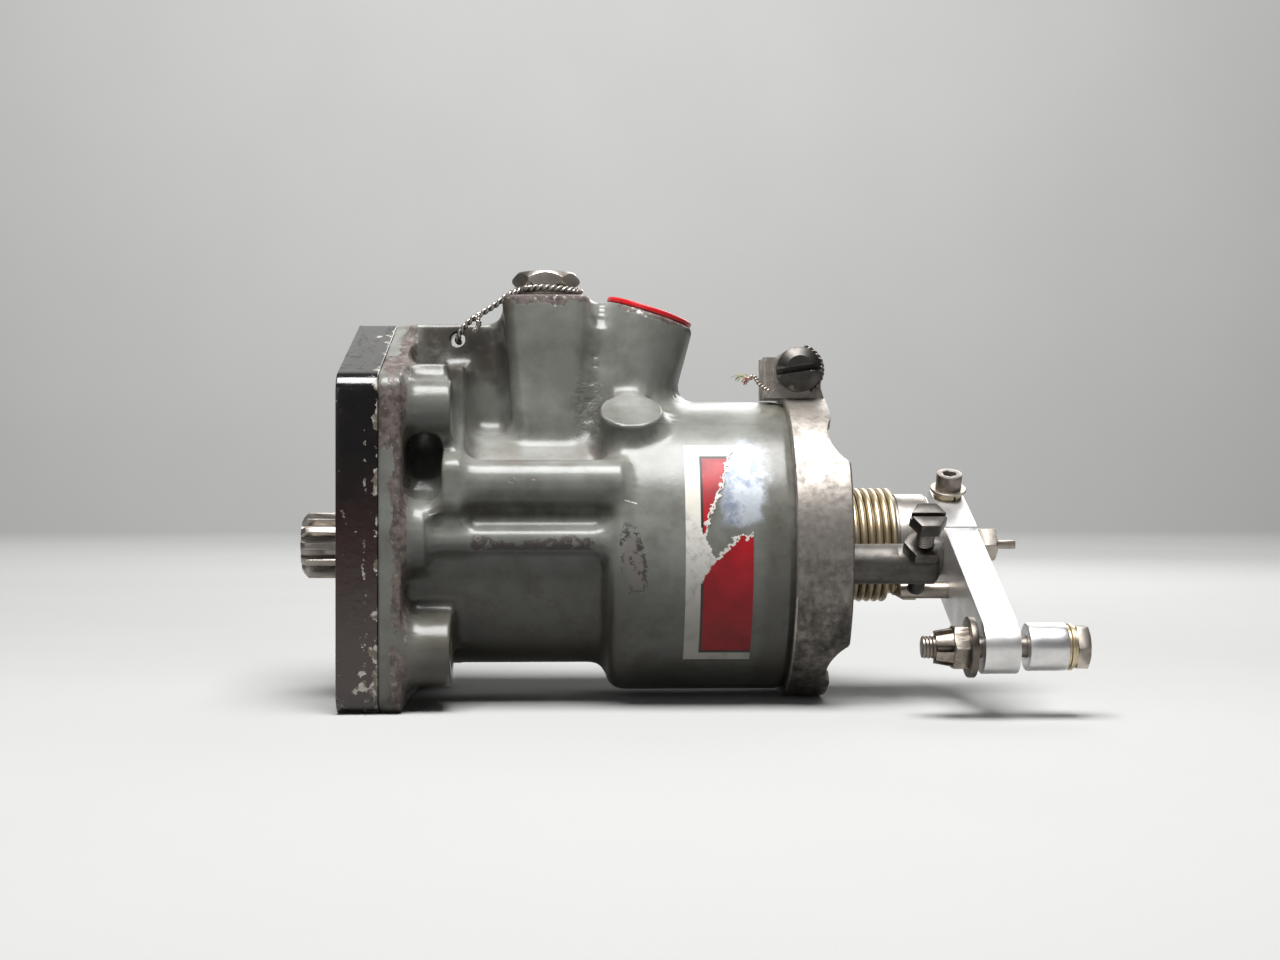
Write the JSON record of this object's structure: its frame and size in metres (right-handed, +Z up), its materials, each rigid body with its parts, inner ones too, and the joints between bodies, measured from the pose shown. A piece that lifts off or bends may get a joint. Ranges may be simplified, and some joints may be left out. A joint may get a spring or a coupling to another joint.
{
  "type": "propeller governor",
  "caption": "Constant-speed propeller governor with a splined drive, flanged cast body, relief valve tower, clamped cover and a spring-loaded control lever.",
  "frame": {"origin": "centre of the drive axis on the mounting face, which is the outer face of the base plate", "axes": "+X along the drive axis from the mounting face to the control lever, +Y away from the camera, +Z up along the relief valve's tower"},
  "size_m": [0.1855, 0.0942, 0.107],
  "materials": {
    "body_paint": "gloss, worn at the edges",
    "black_paint": "gloss, chipped",
    "bare_steel": "satin",
    "worn_steel": "worn, stained",
    "dark_steel": "dull",
    "spring_steel": "satin",
    "cadmium": "dull plating",
    "gold_zinc": "gold plating",
    "bronze": "machined",
    "aluminium": "bright, lightly scratched",
    "rubber": "matte",
    "red_plastic": "gloss"
  },
  "bodies": {
    "housing": {"base_plate": "black_paint", "body_casting": "body_paint", "cover": "bare_steel", "cover_oring": "rubber", "clamp_band": "worn_steel", "clamp_screw": "dark_steel", "clamp_nut": "dark_steel", "relief_spring": "spring_steel", "relief_gasket": "bronze", "relief_plug": "cadmium", "port_cap": "red_plastic", "drive_bushing": "bronze", "base_screws": "dark_steel", "dowel_pins": "bare_steel", "idler_pin": "bare_steel", "speeder_spring": "spring_steel", "guide_pins": "bare_steel", "torsion_spring": "gold_zinc", "stop_screw": "dark_steel", "stop_nut": "cadmium"},
    "drive": {"drive_shaft": "bare_steel", "flyweight_head": "dark_steel", "head_ring": "dark_steel", "weight_pins": "bare_steel"},
    "idler": {"idler_gear": "bare_steel"},
    "weight_front": {"flyweight_front": "bronze"},
    "weight_back": {"flyweight_back": "bronze"},
    "pilot": {"pilot_plunger": "bare_steel", "thrust_bearing": "bare_steel", "spring_seat": "dark_steel", "plunger_nut": "dark_steel"},
    "feed": {"speeder_nut": "bronze"},
    "lever": {"control_shaft": "bare_steel", "shaft_oring": "rubber", "spring_drum": "bare_steel", "control_lever": "aluminium", "stop_pin": "cadmium", "lever_screw": "dark_steel", "lever_lock_washer": "gold_zinc", "lever_washer": "bare_steel", "shaft_nut": "cadmium", "rod_bolt": "bare_steel", "rod_spacer": "aluminium", "rod_thin_washers": "gold_zinc", "rod_washer": "cadmium", "castle_nut": "cadmium"},
    "relief": {"relief_plunger": "bare_steel"}
  },
  "joints": [
    {"name": "drive_spin", "type": "hinge", "parent": "housing", "child": "drive", "pos_m": [0, 0, 0], "axis": [1, 0, 0], "continuous": true},
    {"name": "idler_spin", "type": "hinge", "parent": "housing", "child": "idler", "pos_m": [0, 0, 0.022], "axis": [1, 0, 0], "continuous": true},
    {"name": "pilot_slide", "type": "slide", "parent": "housing", "child": "pilot", "axis": [1, 0, 0], "range_m": [0, 0.0025], "stiffness_N_per_m": 4000, "springref_m": -0.003, "deforming": ["speeder_spring"]},
    {"name": "weight_back_swing", "type": "hinge", "parent": "drive", "child": "weight_back", "pos_m": [0.0772, 0.014, 0], "axis": [0, 0, 1], "range_deg": [0, 23]},
    {"name": "weight_front_swing", "type": "hinge", "parent": "drive", "child": "weight_front", "pos_m": [0.0772, -0.014, 0], "axis": [0, 0, -1], "range_deg": [0, 23]},
    {"name": "lever_turn", "type": "hinge", "parent": "housing", "child": "lever", "pos_m": [0.1485, 0, 0], "axis": [1, 0, 0], "range_deg": [0, 85], "stiffness_Nm_per_rad": 0.12, "springref_deg": -68.75, "deforming": ["torsion_spring"]},
    {"name": "feed_slide", "type": "slide", "parent": "housing", "child": "feed", "axis": [-1, 0, 0], "range_m": [0, 0.003]},
    {"name": "relief_slide", "type": "slide", "parent": "housing", "child": "relief", "axis": [0, 0, 1], "range_m": [0, 0.003], "stiffness_N_per_m": 2500, "springref_m": -0.002, "deforming": ["relief_spring"]}
  ],
  "couplings": [
    {"joint": "idler_spin", "follows": "drive_spin", "ratio": -1},
    {"joint": "weight_back_swing", "follows": "pilot_slide", "rad_per_m": 155.4},
    {"joint": "weight_front_swing", "follows": "pilot_slide", "rad_per_m": 155.4},
    {"joint": "feed_slide", "follows": "lever_turn", "m_per_rad": 0.002}
  ]
}
